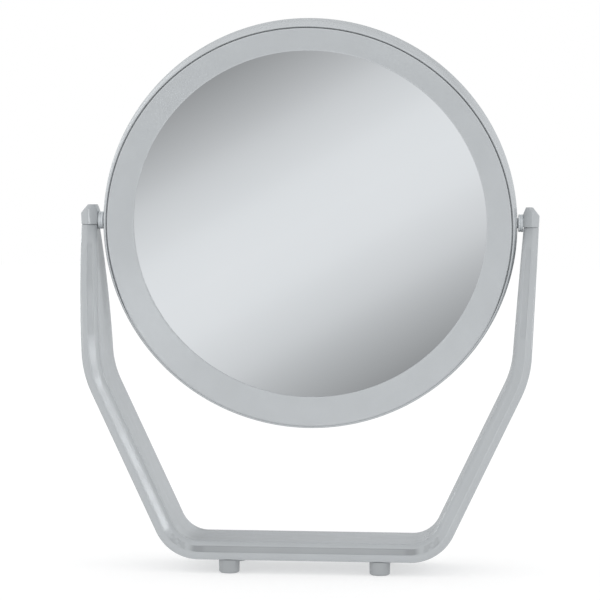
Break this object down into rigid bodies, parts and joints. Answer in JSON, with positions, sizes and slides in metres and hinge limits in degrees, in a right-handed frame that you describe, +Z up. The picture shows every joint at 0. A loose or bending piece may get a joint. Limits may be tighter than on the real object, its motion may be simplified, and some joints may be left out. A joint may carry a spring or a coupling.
{
  "type": "countertop mirror",
  "caption": "Two-sided round vanity mirror turning on pins between the arms of a bent strip stand with peg feet; plane glass on one face, concave on the other.",
  "frame": {"origin": "on the table, under the middle of the stand", "axes": "+Z up, -Y towards the user in front of the plane mirror, +X to the right in front view, along the pivot axis"},
  "size_m": [0.2366, 0.066, 0.2842],
  "materials": {
    "acrylic": "translucent grey acrylic, polished, with softened edges",
    "bezel": "smooth silver-grey moulded plastic, even satin sheen",
    "rim": "smooth light grey moulded plastic",
    "mirror": "silvered glass, polished",
    "steel": "plain turned steel",
    "nylon": "natural grey nylon",
    "foot": "soft translucent grey elastomer",
    "foam": "dark closed-cell foam"
  },
  "bodies": {
    "stand": {"stand_frame": "acrylic", "pivot_cap_left": "acrylic", "pivot_cap_right": "acrylic", "pivot_pin_left": "steel", "pivot_pin_right": "steel", "pin_clip_left": "steel", "pin_clip_right": "steel", "friction_washer_left": "nylon", "friction_washer_right": "nylon", "foot_front_left": "foot", "foot_front_right": "foot", "foot_rear_left": "foot", "foot_rear_right": "foot"},
    "mirror_head": {"pivot_bush_left": "nylon", "pivot_bush_right": "nylon", "rim_front_shell": "rim", "rim_rear_shell": "rim", "carrier_ring": "rim", "front_bezel": "bezel", "rear_bezel": "bezel", "plane_mirror": "mirror", "magnifying_mirror": "mirror", "foam_ring_front": "foam", "foam_ring_rear": "foam"}
  },
  "joints": [
    {"name": "mirror_tilt", "type": "hinge", "parent": "stand", "child": "mirror_head", "pos_m": [0, 0, 0.18], "axis": [1, 0, 0], "continuous": true}
  ]
}
